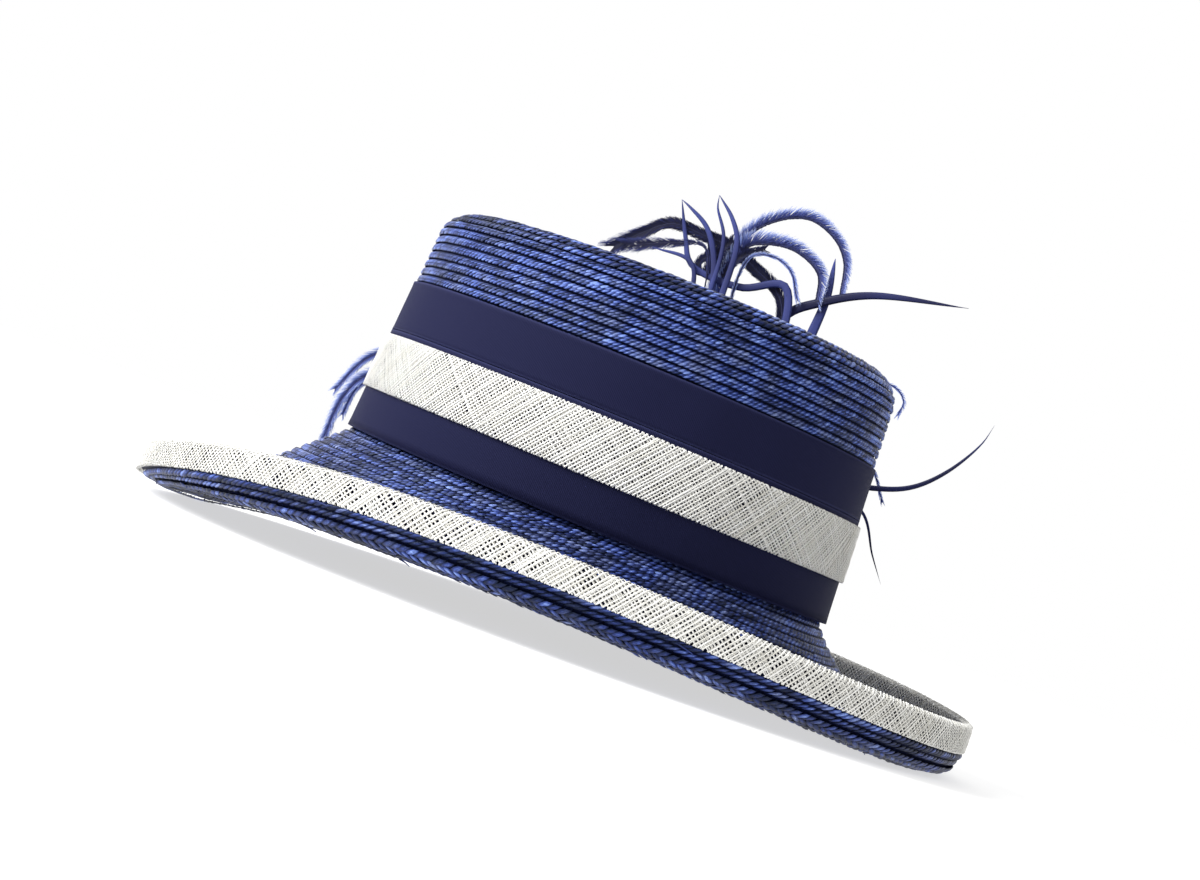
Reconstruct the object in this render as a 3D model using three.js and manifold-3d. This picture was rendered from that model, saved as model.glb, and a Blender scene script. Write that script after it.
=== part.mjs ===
// Straw boater hat: sewn straw crown and brim, two dark ribbons, a cream open-weave band and binding,
// and a feather spray on the wearer's right.
// Millimetres, +Z up, front towards -Y, wearer's left towards +X. The brim rests on the plane z = 0.
import * as THREE from 'three';
import { mergeVertices } from 'three/addons/utils/BufferGeometryUtils.js';
import Module from 'manifold-3d';

const wasm = await Module();
wasm.setup();

// Walls and gaps
const CLEARANCE = 0.3;
const STRAW = 1.8; // at a row's thick edge
const ROW_STEP = 0.4; // how far a row stands proud of its neighbour
const ROW_PITCH = 3.6;
const RIBBON = 1;
const SINAMAY = 1;

// Crown, in its own upright frame, which then leans back over the brim
const CROWN_LENGTH = 199.4; // outside, at the foot
const CROWN_WIDTH = 169.1;
const CROWN_TAPER = 5.2; // how much each side draws in from the foot to the top
const CROWN_FOOT = 43.2;
const CROWN_TOP = 138.4;
const TIP_FALL = 2.7; // how much lower the tip is at the front
const TIP_ROUND = 7;
const CROWN_LEAN = THREE.MathUtils.degToRad(3.2);
const CROWN_BACK = 1.5; // how far the crown stands behind the brim's middle
const COLLAR_LAP = 10; // how far the crown laps over the brim's collar

// Ribbons and band, up the crown's wall from its foot
const LOWER_RIBBON = 40.2;
const UPPER_RIBBON = 20;
const BAND_UP = 16.8;
const BAND_WIDTH = 21.2;

// Brim, outside its binding
const BRIM_LENGTH = 337.4;
const BRIM_WIDTH = 293.8;
const RIM_HEIGHT = 20.1; // at the back
const FRONT_RIM = 12; // and at the front
const FRONT_RISE = 1.3; // power of the sine by which the lowest line rises from the front
const SIDE_LIFT = 9.7; // the brim's sides are higher than its front and back
const LEFT_LIFT = 2; // and the wearer's left is higher again
const BINDING_WIDTH = 10.3;
const GUTTER = 10; // from the turned-up wall in to the lowest point
const CURL = 8; // height of the curl from there up to the wall
const FRONT_SLOPE = THREE.MathUtils.degToRad(38);
const BACK_SLOPE = THREE.MathUtils.degToRad(58);
const GUTTER_SLOPE = THREE.MathUtils.degToRad(12);
const UPPER_BEND = 0.42; // shares of the brim's reach
const LOWER_BEND = 0.24;

// Feather spray
const HEAD = new THREE.Vector3(7, 20, 14); // half sizes: out, along, up
const HEAD_UP = 83.5; // height in the crown's frame
const SPRAY_REACH = 100; // the length that the feathers are drawn to
const FEATHER_THICKNESS = 1.2;
const FEATHER_STEPS = 13;
const FEATHER_TIP = 0.3; // half width left at a tip

const SEGMENTS = 44;
const FLARE_ROWS = 8;
const EDGE_ROWS = 3;
const CURL_STEPS = 4;

const colours = { straw: 0x1d2c66, ribbon: 0x1c1f3f, sinamay: 0xe4e0d2, feather: 0x1b1f52 };

// Makes a closed skin from a profile whose points are functions of the angle round the hat.
// The profile runs with the solid on its left; it closes on itself, or starts and ends on the axis.
function loft(profile) {
  const stand = profile.map((_, row) => new THREE.Vector2(1, row));
  const geometry = new THREE.LatheGeometry(stand, SEGMENTS);
  const position = geometry.getAttribute('position');
  for (let i = 0; i < position.count; i++) {
    const turn = Math.floor(i / profile.length) % SEGMENTS;
    const point = profile[i % profile.length]((2 * Math.PI * turn) / SEGMENTS);
    position.setXYZ(i, point.x, point.y, point.z);
  }
  return closed(geometry);
}

function closed(geometry) {
  geometry.deleteAttribute('normal');
  geometry.deleteAttribute('uv');
  const merged = mergeVertices(geometry, 1e-3);
  const index = merged.getIndex().array;
  const kept = [];
  for (let i = 0; i < index.length; i += 3) {
    const [a, b, c] = index.slice(i, i + 3);
    if (a !== b && b !== c && c !== a) kept.push(a, b, c);
  }
  merged.setIndex(kept);
  merged.computeVertexNormals();
  return merged;
}

function mesh(name, geometry, color, roughness) {
  const made = new THREE.Mesh(geometry, new THREE.MeshStandardMaterial({ color, roughness, metalness: 0 }));
  made.name = name;
  return made;
}

// An oval round the hat: angle 0 is the front, a quarter turn is the wearer's left
const oval = (length, width, z, angle) =>
  new THREE.Vector3((width / 2) * Math.sin(angle), (-length / 2) * Math.cos(angle), z);

// Crown

const drawnIn = (z) => (CROWN_TAPER * (z - CROWN_FOOT)) / (CROWN_TOP - CROWN_FOOT);

// A point at an offset out from the crown's outer wall, at a height in the crown's frame
const wall = (offset, z) => (angle) => {
  const out = 2 * (offset - drawnIn(z));
  return oval(CROWN_LENGTH + out, CROWN_WIDTH + out, z, angle);
};

// The straw above the ribbons falls evenly towards the front
const rowsFoot = CROWN_FOOT + LOWER_RIBBON + CLEARANCE + UPPER_RIBBON;
const fallen = (place) => (angle) => {
  const point = place(angle);
  const up = Math.max(0, point.z - rowsFoot) / (CROWN_TOP - rowsFoot);
  point.z -= TIP_FALL * up * (0.5 - point.y / CROWN_LENGTH);
  return point;
};

// A point of the flat tip, as a share of the way from its middle to its rounded edge
const tip = (share, z) => (angle) => wall(-TIP_ROUND, z)(angle).setZ(0).multiplyScalar(share).setZ(z);

function roundedEdge(radius) {
  const points = [];
  for (let step = 0; step <= CURL_STEPS; step++) {
    const turn = (step / CURL_STEPS) * (Math.PI / 2);
    const z = CROWN_TOP - TIP_ROUND + radius * Math.sin(turn);
    points.push(wall(radius * Math.cos(turn) - TIP_ROUND, z));
  }
  return points;
}

function crownGeometry() {
  const lip = CROWN_FOOT + 2 * CLEARANCE;
  const rowsTop = CROWN_TOP - TIP_ROUND;
  const rows = Math.round((rowsTop - rowsFoot) / ROW_PITCH);
  const pitch = (rowsTop - rowsFoot) / rows;
  const inside = [tip(0, CROWN_TOP - STRAW), ...roundedEdge(TIP_ROUND - STRAW).reverse()];
  const outside = [wall(-STRAW, lip), wall(0, lip)];
  for (let row = 0; row < rows; row++) {
    outside.push(wall(0, rowsFoot + row * pitch), wall(-ROW_STEP, rowsFoot + (row + 1) * pitch));
  }
  return loft([...inside, ...outside, ...roundedEdge(TIP_ROUND), tip(0, CROWN_TOP)].map(fallen));
}

// A band round the crown's wall, its inner face at an offset from the straw
function bandGeometry(foot, width, offset, thickness) {
  const out = offset + thickness;
  const top = foot + width;
  const inner = wall(offset, foot);
  return loft([wall(offset, top), inner, wall(out, foot), wall(out, top), wall(offset, top)]);
}

// Brim

const leaning = new THREE.Matrix4()
  .makeRotationX(-CROWN_LEAN)
  .setPosition(0, CROWN_BACK, 0);
const leaned = (place) => (angle) => place(angle).applyMatrix4(leaning);

// Heights round the brim: what the left side adds, the lowest line, and the rim
const leftLift = (angle) => LEFT_LIFT * Math.sin(angle) ** 3;
const floorLift = (angle) => {
  const rise = Math.cos(angle) > 0 ? FRONT_RISE : 2;
  return SIDE_LIFT * Math.abs(Math.sin(angle)) ** rise + leftLift(angle);
};
const rimTop = (angle) => {
  const end = Math.cos(angle) > 0 ? FRONT_RIM : RIM_HEIGHT;
  return THREE.MathUtils.lerp(end, RIM_HEIGHT + SIDE_LIFT, Math.sin(angle) ** 2) + leftLift(angle);
};
const collarMiddle = -STRAW - CLEARANCE - STRAW / 2;
const wallMiddle = SINAMAY + CLEARANCE + STRAW / 2;
const wallTall = RIM_HEIGHT - STRAW / 2 - CLEARANCE - SINAMAY; // the sheet's own rise at the back

// The middle line of the brim's sheet at one angle, from the collar's foot to the top of the turned-up wall.
// Each station has its place outwards and upwards from the collar, and the way up through the sheet.
function sheetLine(angle) {
  const foot = leaned(wall(collarMiddle, CROWN_FOOT))(angle);
  const rim = oval(BRIM_LENGTH - 2 * wallMiddle, BRIM_WIDTH - 2 * wallMiddle, 0, angle);
  const outwards = rim.clone().sub(foot).setZ(0);
  const reach = outwards.length();
  outwards.normalize();
  const low = floorLift(angle) + STRAW / 2;
  const tall = rimTop(angle) - CLEARANCE - SINAMAY - low;
  const curl = CURL * (tall / wallTall) ** 2;
  const back = Math.max(0, -Math.cos(angle)) ** 2;
  const slope = THREE.MathUtils.lerp(FRONT_SLOPE, BACK_SLOPE, back);
  const start = new THREE.Vector2(0, foot.z);
  const end = new THREE.Vector2(reach - GUTTER, low);
  const flare = new THREE.CubicBezierCurve(
    start,
    new THREE.Vector2(Math.cos(slope), -Math.sin(slope)).multiplyScalar(UPPER_BEND * reach).add(start),
    new THREE.Vector2(-Math.cos(GUTTER_SLOPE), Math.sin(GUTTER_SLOPE)).multiplyScalar(LOWER_BEND * reach).add(end),
    end,
  );
  const stations = [];
  for (let row = 0; row <= FLARE_ROWS; row++) {
    const way = flare.getTangentAt(row / FLARE_ROWS);
    stations.push({ at: flare.getPointAt(row / FLARE_ROWS), up: new THREE.Vector2(-way.y, way.x) });
  }
  for (let step = 1; step <= CURL_STEPS; step++) {
    const turn = (step / CURL_STEPS) * (Math.PI / 2);
    const at = new THREE.Vector2(GUTTER * Math.sin(turn), curl * (1 - Math.cos(turn))).add(end);
    const way = new THREE.Vector2(GUTTER * Math.cos(turn), curl * Math.sin(turn)).normalize();
    stations.push({ at, up: new THREE.Vector2(-way.y, way.x) });
  }
  const level = (z) => ({ at: new THREE.Vector2(reach, z), up: new THREE.Vector2(-1, 0) });
  const bound = level(low + tall - Math.sqrt(tall / wallTall) * (BINDING_WIDTH - SINAMAY));
  return { foot, outwards, stations: [...stations, bound, level(low + tall)] };
}

// A point at a height above the sheet's middle line, raised a little more for a binding over the edge
const onSheet = (station, above, raise = 0) => (angle) => {
  const { foot, outwards, stations } = sheetLine(angle);
  const { at, up } = stations.at(station);
  const out = at.x + above * up.x;
  return new THREE.Vector3(foot.x + outwards.x * out, foot.y + outwards.y * out, at.y + above * up.y + raise);
};

function brimGeometry() {
  const half = STRAW / 2;
  const collarTop = CROWN_FOOT + COLLAR_LAP;
  const lastFlare = FLARE_ROWS;
  const wallFoot = FLARE_ROWS + CURL_STEPS;
  const under = [];
  for (let station = 1; station <= wallFoot; station++) {
    under.push(onSheet(station, -half));
    const stepped = station > wallFoot - EDGE_ROWS;
    if (stepped) under.push(onSheet(station, -half + ROW_STEP));
  }
  const over = [];
  for (let station = wallFoot; station > lastFlare; station--) over.push(onSheet(station, half));
  for (let station = lastFlare; station > 1; station--) {
    over.push(onSheet(station, half), onSheet(station, half - ROW_STEP));
  }
  const collarIn = leaned(wall(collarMiddle - half, collarTop));
  const collarOut = leaned(wall(collarMiddle + half, collarTop));
  const footIn = leaned(wall(collarMiddle - half, CROWN_FOOT));
  return loft([
    collarIn,
    footIn,
    ...under,
    onSheet(-1, -half + ROW_STEP),
    onSheet(-1, half),
    ...over,
    onSheet(1, half),
    leaned(wall(collarMiddle + half, CROWN_FOOT)),
    collarOut,
    collarIn,
  ]);
}

function bindingGeometry() {
  const near = STRAW / 2 + CLEARANCE;
  const far = near + SINAMAY;
  const lift = CLEARANCE;
  return loft([
    onSheet(-2, -near),
    onSheet(-2, -far),
    onSheet(-1, -far, lift),
    onSheet(-1, -near, lift + SINAMAY),
    onSheet(-1, near, lift + SINAMAY),
    onSheet(-1, far, lift),
    onSheet(-2, far),
    onSheet(-2, near),
    onSheet(-1, near, lift),
    onSheet(-1, -near, lift),
    onSheet(-2, -near),
  ]);
}

// Feather spray

// Each feather in hundredths of the spray's reach: its width, and points from the head as
// [along to the back, up, out from the head's middle]
const feathers = [
  { width: 3.2, points: [[-8, 6, 0], [-16, 52, 2], [-25, 83, 3], [-34, 96, 3], [-45, 102, 3], [-50, 104, 4]] },
  { width: 3.6, points: [[10, 4, 1], [16, 60, 4], [8, 84, 5], [-10, 77, 5], [-35, 79, 5], [-42, 89, 5], [-50, 104, 4]] },
  { width: 3.2, points: [[-6, 6, -1], [-14, 60, 0], [-18, 94, 1], [-24, 103, 1], [-34, 111, 2]] },
  { width: 2.4, points: [[-10, 6, 0], [-20, 60, 2], [-25, 94, 3], [-33, 106, 3], [-34, 111, 2]] },
  {
    width: 4.6,
    points: [[8, 2, 3], [14, 50, 6], [9, 77, 7], [-8, 87, 7], [-22, 92, 7], [-36, 93, 7], [-51, 93, 7], [-62, 85, 7],
      [-72, 75, 7]],
  },
  { width: 3, points: [[-8, 4, 2], [-22, 60, 4], [-32, 88, 5], [-46, 85, 5], [-66, 77, 5]] },
  { width: 2.6, points: [[-10, 2, 1], [-26, 50, 3], [-34, 79, 3], [-54, 80, 3]] },
  {
    width: 6,
    points: [[-2, 8, 5], [-20, 60, 8], [-18, 97, 9], [-10, 108, 9], [5, 115, 9], [19, 111, 9], [27, 103, 9], [31, 89, 9]],
  },
  { width: 7, points: [[0, 8, 3], [-16, 60, 6], [-15, 94, 7], [-9, 98, 7], [5, 100, 7], [19, 94, 7], [23, 82, 7]] },
  { width: 4, points: [[2, 8, 1], [-10, 60, 3], [-11, 90, 4], [-2, 94, 4], [8, 91, 4], [16, 80, 4]] },
  { width: 5, points: [[8, 6, 3], [24, 45, 9], [26, 71, 9], [26, 87, 9], [23, 103, 9]] },
  { width: 4.2, points: [[6, 8, 4], [6, 45, 7], [13, 73, 7], [25, 83, 7], [44, 93, 7], [85, 102, 7]] },
  { width: 7, points: [[-12, 2, 2], [-60, 10, 2], [-100, 9, -10], [-128, 0, -26], [-142, -12, -33], [-151, -30, -33]] },
  {
    width: 8,
    points: [[-12, -3, 1], [-60, 2, 0], [-100, -4, -12], [-127, -11, -28], [-139, -20, -35], [-145, -32, -35],
      [-146, -55, -35]],
  },
  { width: 6, points: [[-12, 5, 0], [-60, 5, 4], [-100, 1, -6], [-130, -10, -22], [-143, -25, -29], [-145, -39, -29]] },
  { width: 2.4, points: [[12, 4, 2], [45, 12, 5], [78, 18, 5], [92, 24, 5], [103, 35, 5], [112, 51, 5], [114, 60, 5]] },
  { width: 1.6, points: [[12, 0, 3], [48, 12, 7], [76, 7, 7], [87, -8, 7], [95, -18, 7]] },
  { width: 3, points: [[12, 2, 4], [46, 34, 8], [72, 26, 8], [82, 14, 8]] },
  { width: 3, points: [[10, 8, 2], [42, 52, 5], [60, 60, 5], [70, 60, 5], [75, 56, 5], [75, 50, 5]] },
];

// How wide a feather is along its length: slim at the head, full past its middle, drawn to a point
const fullness = (share) => 0.45 + 0.55 * Math.sin(Math.PI * share ** 0.8) - 0.45 * share ** 6;

function featherGeometry({ width, points }, head) {
  const unit = SPRAY_REACH / 100;
  const curve = new THREE.CatmullRomCurve3(
    points.map(([along, up, out]) => new THREE.Vector3(-out, along, up).multiplyScalar(unit).add(head)),
    false,
    'centripetal',
  );
  const geometry = new THREE.CylinderGeometry(1, 1, 1, 4, FEATHER_STEPS);
  const position = geometry.getAttribute('position');
  for (let i = 0; i < position.count; i++) {
    const share = position.getY(i) + 0.5;
    const way = curve.getTangentAt(share);
    const out = new THREE.Vector3(-1, 0, 0).addScaledVector(way, way.x).normalize();
    const across = way.clone().cross(out);
    const full = fullness(share);
    const place = curve.getPointAt(share);
    place.addScaledVector(across, position.getX(i) * Math.max((unit * width * full) / 2, FEATHER_TIP));
    place.addScaledVector(out, position.getZ(i) * Math.max((FEATHER_THICKNESS / 2) * full, FEATHER_TIP));
    position.setXYZ(i, place.x, place.y, place.z);
  }
  return closed(geometry);
}

function toSolid(geometry) {
  const vertProperties = new Float32Array(geometry.getAttribute('position').array);
  const triVerts = new Uint32Array(geometry.getIndex().array);
  return new wasm.Manifold(new wasm.Mesh({ numProp: 3, vertProperties, triVerts }));
}

function fromSolid(solid) {
  const { vertProperties, triVerts } = solid.getMesh();
  const geometry = new THREE.BufferGeometry();
  geometry.setAttribute('position', new THREE.BufferAttribute(new Float32Array(vertProperties), 3));
  geometry.setIndex(new THREE.BufferAttribute(new Uint32Array(triVerts), 1));
  geometry.computeVertexNormals();
  return geometry;
}

function sprayGeometry() {
  const skin = -CROWN_WIDTH / 2 + drawnIn(HEAD_UP) - 2 * CLEARANCE - RIBBON - SINAMAY;
  const head = new THREE.Vector3(skin - CLEARANCE - HEAD.x, 0, HEAD_UP);
  const wrapped = new THREE.SphereGeometry(1, 16, 10);
  wrapped.scale(HEAD.x, HEAD.y, HEAD.z).translate(head.x, head.y, head.z);
  let spray = toSolid(closed(wrapped));
  for (const feather of feathers) spray = spray.add(toSolid(featherGeometry(feather, head)));
  return fromSolid(spray);
}

// Assembly

const hat = new THREE.Group();
const crownGroup = new THREE.Group();
crownGroup.position.y = CROWN_BACK;
crownGroup.rotation.x = -CROWN_LEAN;
hat.add(crownGroup);

const upperFoot = CROWN_FOOT + LOWER_RIBBON + CLEARANCE;
const overRibbon = CLEARANCE + RIBBON + CLEARANCE;
crownGroup.add(
  mesh('crown', crownGeometry(), colours.straw, 0.45),
  mesh('ribbon_lower', bandGeometry(CROWN_FOOT, LOWER_RIBBON, CLEARANCE, RIBBON), colours.ribbon, 0.7),
  mesh('ribbon_upper', bandGeometry(upperFoot, UPPER_RIBBON, CLEARANCE, RIBBON), colours.ribbon, 0.7),
  mesh('sinamay_band', bandGeometry(CROWN_FOOT + BAND_UP, BAND_WIDTH, overRibbon, SINAMAY), colours.sinamay, 0.8),
  mesh('feather_spray', sprayGeometry(), colours.feather, 0.6),
);
hat.add(
  mesh('brim', brimGeometry(), colours.straw, 0.45),
  mesh('brim_binding', bindingGeometry(), colours.sinamay, 0.8),
);

export default hat;
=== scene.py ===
"""Straw boater hat: sewn navy braid, petersham ribbons, cream sinamay and a feather spray."""
import math

import bpy
import numpy as np
from mathutils import Matrix, Vector


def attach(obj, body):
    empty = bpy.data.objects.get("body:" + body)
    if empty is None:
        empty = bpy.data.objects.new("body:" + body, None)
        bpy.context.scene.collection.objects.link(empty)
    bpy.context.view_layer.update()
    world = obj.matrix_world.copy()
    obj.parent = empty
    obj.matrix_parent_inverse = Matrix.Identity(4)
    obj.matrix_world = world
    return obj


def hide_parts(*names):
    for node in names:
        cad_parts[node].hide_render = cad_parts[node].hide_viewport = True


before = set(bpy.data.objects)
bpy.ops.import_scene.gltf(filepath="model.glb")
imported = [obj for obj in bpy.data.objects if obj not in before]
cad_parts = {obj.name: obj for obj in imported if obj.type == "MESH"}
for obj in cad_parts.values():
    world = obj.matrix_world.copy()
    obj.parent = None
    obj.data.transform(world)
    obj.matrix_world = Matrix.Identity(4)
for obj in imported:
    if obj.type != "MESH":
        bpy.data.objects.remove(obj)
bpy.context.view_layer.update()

chance = np.random.default_rng(7)

# Sizes in millimetres, as the frame has them
MM = 0.001
STRAW = 1.8
CLEARANCE = 0.3
RIBBON = 1.0
SINAMAY = 1.0
CROWN_LENGTH = 199.4
CROWN_WIDTH = 169.1
CROWN_TAPER = 5.2
CROWN_FOOT = 43.2
CROWN_TOP = 138.4
CROWN_FORWARD = 1.8
TIP_FALL = 2.7
TIP_ROUND = 11.0
CROWN_LEAN = math.radians(3.2)
CROWN_BACK = 1.5
COLLAR_LAP = 10.0
LOWER_RIBBON = 40.2
UPPER_RIBBON = 20.0
BAND_UP = 16.8
BAND_WIDTH = 21.2
BRIM_LENGTH = 337.4
BRIM_WIDTH = 293.8
RIM_HEIGHT = 20.1
FRONT_RIM = 12.0
FRONT_RISE = 1.3
SIDE_LIFT = 9.7
LEFT_LIFT = 2.0
BINDING_WIDTH = 10.3
GUTTER = 10.0
CURL = 8.0
FRONT_SLOPE = math.radians(38)
BACK_SLOPE = math.radians(58)
GUTTER_SLOPE = math.radians(12)
UPPER_BEND = 0.42
LOWER_BEND = 0.24
HEAD_SIZE = (7.0, 20.0, 14.0)
HEAD_UP = 83.5

# Where layers lie: the middle of the brim's collar and wall, and the first row over the ribbons
COLLAR_MIDDLE = -STRAW - CLEARANCE - STRAW / 2
WALL_INSET = SINAMAY + CLEARANCE + STRAW / 2
WALL_TALL = RIM_HEIGHT - STRAW / 2 - CLEARANCE - SINAMAY
ROWS_FOOT = CROWN_FOOT + LOWER_RIBBON + CLEARANCE + UPPER_RIBBON

# Braid
ROW = 3.6
STRAND = 2.8
SHELL_DEPTH = 0.95
SLANT = math.radians(47)
FINE_STRAND = 2.05
FINE_SLANT = math.radians(38)
BRIM_SLANT = math.radians(33)
EDGE_SLANT = math.radians(26)
PLAIT_SLANT = math.radians(42)
PLAIT_HALF = 1.05
PLAITED_EDGE = 12.8
FRAYED_ENDS = 26
FULL_TURN = 2 * math.pi

# Sinamay threads
RISING = math.radians(50)
FALLING = math.radians(-38)
THREAD_PITCH = 1.22
THREAD_HALF_WIDE = 0.29
THREAD_HALF_THICK = 0.11
LAYER_STEP = 0.42

# The surroundings' bright side, behind the hat's front right
BRIGHT_SIDE = (-0.71, -0.71, 0.0)
DIM_STRENGTH = 0.6

# The plaits and frayed ends hang up to 1.21 mm under the brim's solid, so the floor lies just below them
FLOOR_DROP = 1.25


# Camera, lights and floor

def add_camera():
    azimuth, elevation, roll = (math.radians(a) for a in (110.019, -2.229, 19.570))
    aim = Vector((0, -0.00136, 0.07521))
    distance = 0.851
    back = Vector((
        math.sin(azimuth) * math.cos(elevation),
        -math.cos(azimuth) * math.cos(elevation),
        math.sin(elevation),
    ))
    right = (-back).cross(Vector((0, 0, 1))).normalized()
    up = right.cross(-back)
    turned_right = right * math.cos(roll) + up * math.sin(roll)
    turned_up = up * math.cos(roll) - right * math.sin(roll)
    data = bpy.data.cameras.new("camera")
    data.lens = 66
    data.sensor_width = 36
    data.clip_start = 0.01
    camera = bpy.data.objects.new("camera", data)
    camera.matrix_world = Matrix.Translation(aim + back * distance) @ Matrix(
        (turned_right, turned_up, back)
    ).transposed().to_4x4()
    bpy.context.scene.collection.objects.link(camera)
    bpy.context.scene.camera = camera


def add_light(name, place, aim, size, power):
    data = bpy.data.lights.new(name, "AREA")
    data.shape = "DISK"
    data.size = size
    data.energy = power
    light = bpy.data.objects.new(name, data)
    light.location = place
    light.rotation_euler = (Vector(aim) - Vector(place)).to_track_quat("-Z", "Y").to_euler()
    bpy.context.scene.collection.objects.link(light)


def add_world():
    """Surroundings that are white on the bright side and fall off to the rest of the room."""
    world = bpy.data.worlds.new("studio")
    world.use_nodes = True
    tree = world.node_tree
    strength = towards_bright_side(tree, "Generated", -0.35, 0.68, DIM_STRENGTH, 1.0)
    tree.links.new(strength, tree.nodes["Background"].inputs["Strength"])
    tree.nodes["Background"].inputs["Color"].default_value = (1, 1, 1, 1)
    bpy.context.scene.world = world


def set_stage():
    add_world()
    bpy.context.scene.view_settings.view_transform = "Standard"
    add_light("window_light", (1.3, -1.8, 1.5), (0, 0, 0.07), 1.8, 115)
    deselect()
    bpy.ops.mesh.primitive_circle_add(vertices=96, radius=12, fill_type="NGON")
    floor = bpy.context.object
    floor.name = "floor"
    floor.location.z = -FLOOR_DROP * MM
    paint, tree, surface = shader_material("pale_floor_painted_glow", (0.52, 0.52, 0.52), 1.0)
    surface.inputs["Specular IOR Level"].default_value = 0.0
    surface.inputs["Emission Color"].default_value = (1, 1, 1, 1)
    # Painted light: the floor glows, more towards the bright side, which lightens the hat's shadow on it and
    # blends it into the white surroundings.
    painted_floor_glow = towards_bright_side(tree, "Object", -1.1, -0.35, 0.2, 0.62)
    tree.links.new(painted_floor_glow, surface.inputs["Emission Strength"])
    floor.data.materials.append(paint)


# Materials

def shader_material(name, colour, roughness):
    material = bpy.data.materials.new(name)
    material.use_nodes = True
    tree = material.node_tree
    surface = tree.nodes["Principled BSDF"]
    surface.inputs["Base Color"].default_value = (*colour, 1)
    surface.inputs["Roughness"].default_value = roughness
    return material, tree, surface


def node(tree, kind, **values):
    made = tree.nodes.new(kind)
    for name, value in values.items():
        if hasattr(made, name):
            setattr(made, name, value)
        else:
            made.inputs[name].default_value = value
    return made


def map_range(tree, value, start, end, low=0.0, high=1.0, kind="LINEAR"):
    """Takes a value from start to end over to low to high."""
    made = node(tree, "ShaderNodeMapRange", interpolation_type=kind)
    for name, number in (("From Min", start), ("From Max", end), ("To Min", low), ("To Max", high)):
        made.inputs[name].default_value = number
    tree.links.new(value, made.inputs["Value"])
    return made.outputs["Result"]


def towards_bright_side(tree, source, start, end, low, high):
    """Rises smoothly from low to high with how far a place or direction lies to the bright side."""
    place = node(tree, "ShaderNodeTexCoord")
    towards = node(tree, "ShaderNodeVectorMath", operation="DOT_PRODUCT")
    towards.inputs[1].default_value = BRIGHT_SIDE
    tree.links.new(place.outputs[source], towards.inputs[0])
    return map_range(tree, towards.outputs["Value"], start, end, low, high, "SMOOTHSTEP")


def ramp(tree, source, stops):
    made = node(tree, "ShaderNodeValToRGB")
    elements = made.color_ramp.elements
    while len(elements) < len(stops):
        elements.new(0.5)
    for element, (place, colour) in zip(elements, stops):
        element.position = place
        element.color = (*colour, 1)
    tree.links.new(source, made.inputs["Fac"])
    return made.outputs["Color"]


def bump(tree, surface, height, strength, distance):
    made = node(tree, "ShaderNodeBump", Strength=strength, Distance=distance)
    tree.links.new(height, made.inputs["Height"])
    tree.links.new(made.outputs["Normal"], surface.inputs["Normal"])


def straw_material():
    """Dyed straw: each strand has its own tone, bright blue to slate, with painted highlight and shade; fine
    fibres along it.
    """
    material, tree, surface = shader_material("navy_straw", (0.02, 0.035, 0.14), 0.36)
    surface.inputs["Specular IOR Level"].default_value = 0.3
    surface.inputs["Specular Tint"].default_value = (0.42, 0.58, 1.0, 1)
    tone = node(tree, "ShaderNodeAttribute", attribute_name="tone")
    bright = ramp(tree, tone.outputs["Fac"], [
        (0.0, (0.001, 0.0015, 0.006)),
        (0.3, (0.008, 0.013, 0.060)),
        (0.55, (0.024, 0.040, 0.180)),
        (0.78, (0.065, 0.110, 0.400)),
        (1.0, (0.220, 0.330, 0.760)),
    ])
    slate = ramp(tree, tone.outputs["Fac"], [
        (0.0, (0.001, 0.0015, 0.006)),
        (0.3, (0.010, 0.014, 0.048)),
        (0.55, (0.033, 0.044, 0.122)),
        (0.78, (0.075, 0.100, 0.250)),
        (1.0, (0.220, 0.280, 0.540)),
    ])
    place = node(tree, "ShaderNodeTexCoord")
    patches = node(tree, "ShaderNodeTexNoise", Scale=110.0, Detail=2.0)
    tree.links.new(place.outputs["Object"], patches.inputs["Vector"])
    share = map_range(tree, patches.outputs["Fac"], 0.43, 0.63)
    dyed = node(tree, "ShaderNodeMix", data_type="RGBA")
    tree.links.new(share, dyed.inputs["Factor"])
    tree.links.new(bright, dyed.inputs[6])
    tree.links.new(slate, dyed.inputs[7])
    along = node(tree, "ShaderNodeUVMap", uv_map="strand")
    stretch = node(tree, "ShaderNodeMapping", Scale=(0.5, 1.3, 1.0))
    fibres = node(tree, "ShaderNodeTexNoise", Scale=3.0, Detail=3.0, Roughness=0.65)
    tree.links.new(along.outputs["UV"], stretch.inputs["Vector"])
    tree.links.new(stretch.outputs["Vector"], fibres.inputs["Vector"])
    shade = ramp(tree, fibres.outputs["Fac"], [(0.36, (0.35, 0.36, 0.45)), (0.64, (1.5, 1.45, 1.35))])
    mix = node(tree, "ShaderNodeMix", data_type="RGBA", blend_type="MULTIPLY")
    mix.inputs["Factor"].default_value = 1.0
    tree.links.new(dyed.outputs[2], mix.inputs[6])
    tree.links.new(shade, mix.inputs[7])
    tree.links.new(mix.outputs[2], surface.inputs["Base Color"])
    bump(tree, surface, fibres.outputs["Fac"], 0.6, 0.0003)
    return material


def straw_shadow_material():
    """Near-black straw and thread seen between the strands: their dark navy, deepened as painted shade in the
    grooves between rows.
    """
    material, tree, surface = shader_material("straw_painted_shade_between_rows", (0.004, 0.006, 0.020), 0.6)
    place = node(tree, "ShaderNodeTexCoord")
    grain = node(tree, "ShaderNodeTexNoise", Scale=900.0, Detail=2.0)
    tree.links.new(place.outputs["Object"], grain.inputs["Vector"])
    colour = ramp(tree, grain.outputs["Fac"], [
        (0.35, (0.0015, 0.002, 0.009)),
        (0.75, (0.006, 0.010, 0.045)),
    ])
    tree.links.new(colour, surface.inputs["Base Color"])
    bump(tree, surface, grain.outputs["Fac"], 0.5, 0.0003)
    surface.inputs["Specular IOR Level"].default_value = 0.05
    return material


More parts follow.
